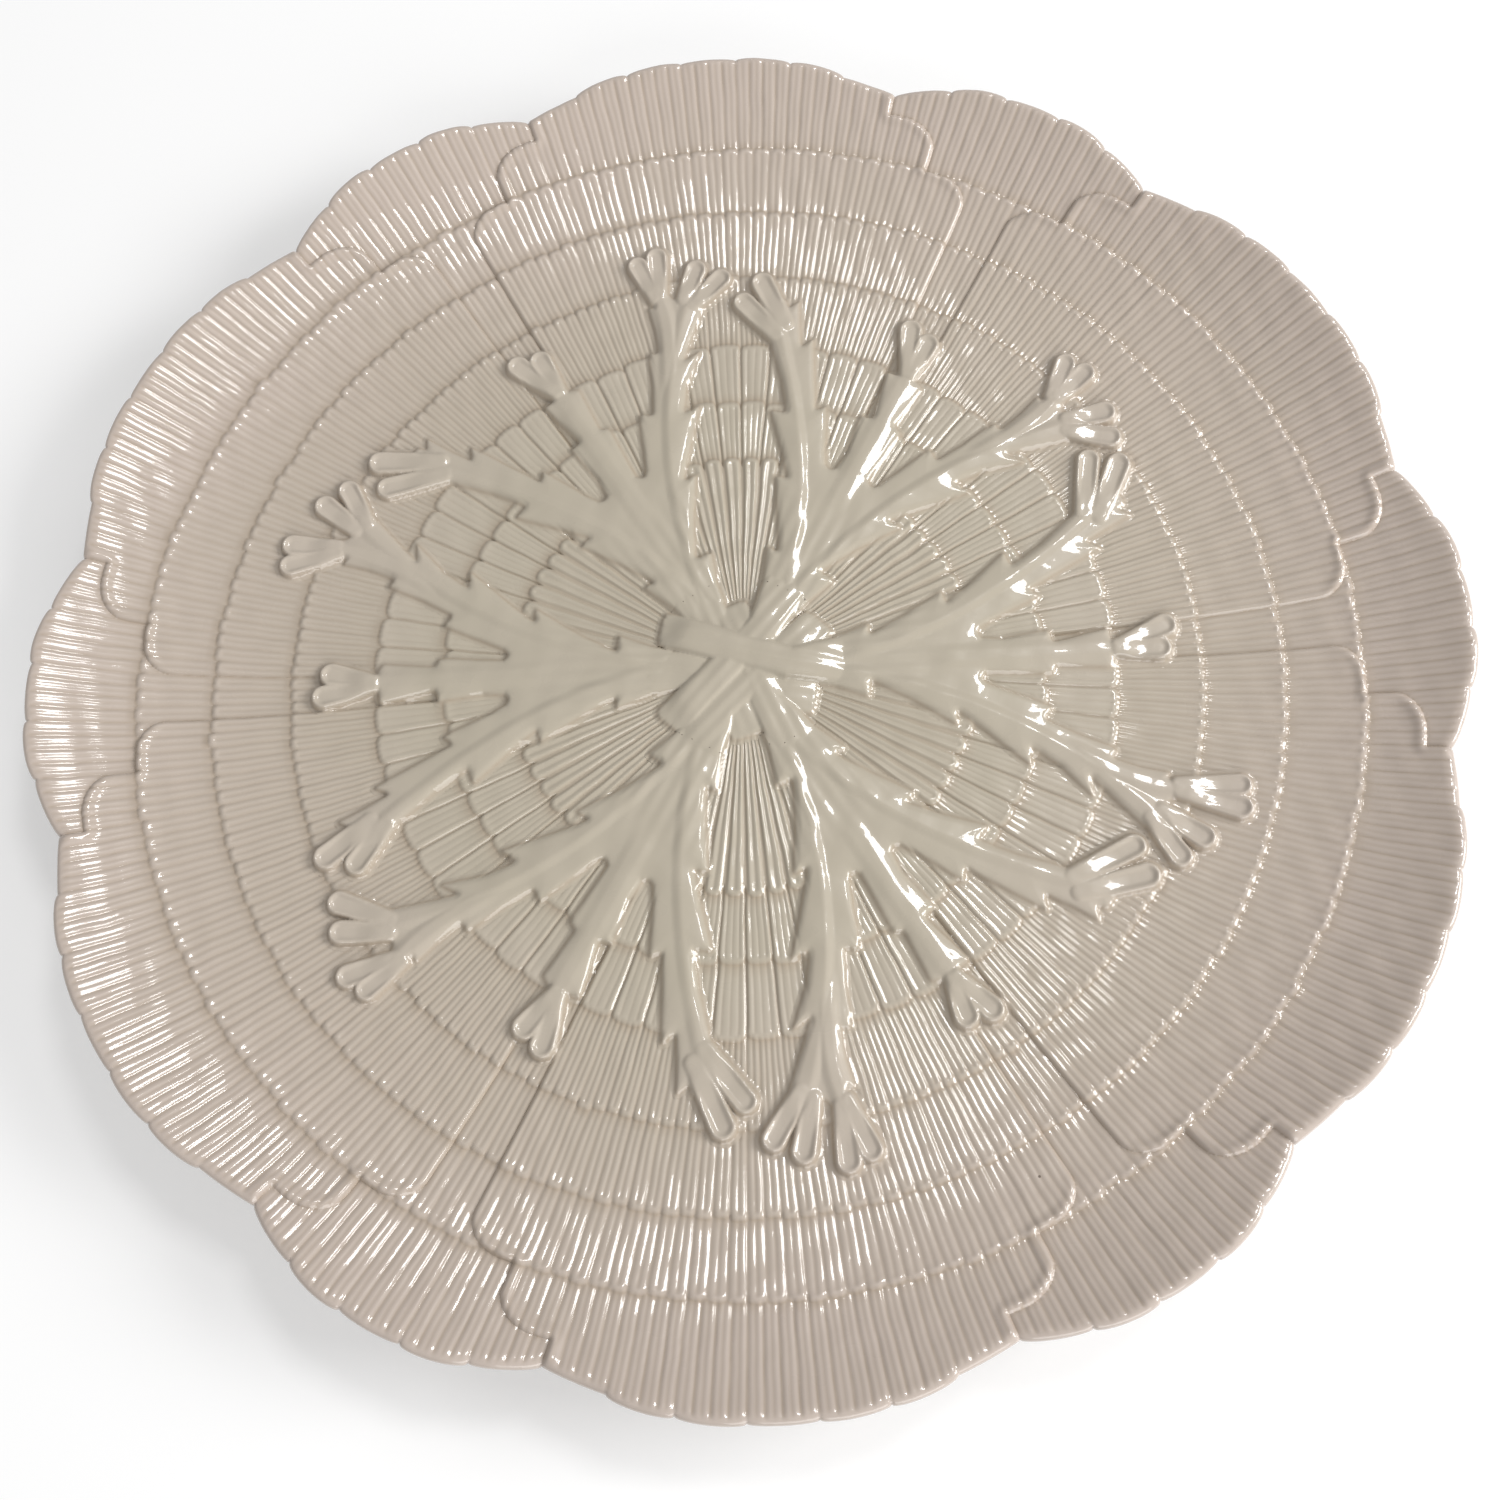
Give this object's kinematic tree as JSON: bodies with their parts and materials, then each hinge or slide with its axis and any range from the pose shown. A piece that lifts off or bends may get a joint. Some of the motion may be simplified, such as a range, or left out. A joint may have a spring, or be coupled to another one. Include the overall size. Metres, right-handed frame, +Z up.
{
  "type": "round serving plate",
  "caption": "Round ivory glazed earthenware platter with a scalloped rim, ribbed overlapping shells and seaweed sprays in relief, on a foot ring.",
  "frame": {"origin": "centre of the foot ring on the table, in the middle of the plate's bottom", "axes": "+Z up out of the well, +Y along the middle of one wide shell, -Y towards the front"},
  "size_m": [0.33, 0.3296, 0.0264],
  "materials": {
    "glazed_body": "clear glossy glaze over an ivory earthenware body",
    "glazed_shells": "clear glossy glaze over ivory earthenware, pooled in the grooves",
    "glazed_sprays": "clear glossy glaze over ivory earthenware, thin on the raised stems",
    "bare_foot": "dry unglazed foot ring"
  },
  "bodies": {
    "root": {"dish_body": "glazed_body", "foot_ring": "bare_foot", "wide_shell_1": "glazed_shells", "wide_shell_2": "glazed_shells", "wide_shell_3": "glazed_shells", "wide_shell_4": "glazed_shells", "wide_shell_5": "glazed_shells", "wide_shell_6": "glazed_shells", "narrow_shell_1": "glazed_shells", "narrow_shell_2": "glazed_shells", "narrow_shell_3": "glazed_shells", "narrow_shell_4": "glazed_shells", "narrow_shell_5": "glazed_shells", "narrow_shell_6": "glazed_shells", "seaweed_spray_1": "glazed_sprays", "seaweed_spray_2": "glazed_sprays", "seaweed_spray_3": "glazed_sprays", "seaweed_spray_4": "glazed_sprays", "seaweed_spray_5": "glazed_sprays", "seaweed_spray_6": "glazed_sprays", "stem_crossing": "glazed_sprays"}
  },
  "joints": []
}
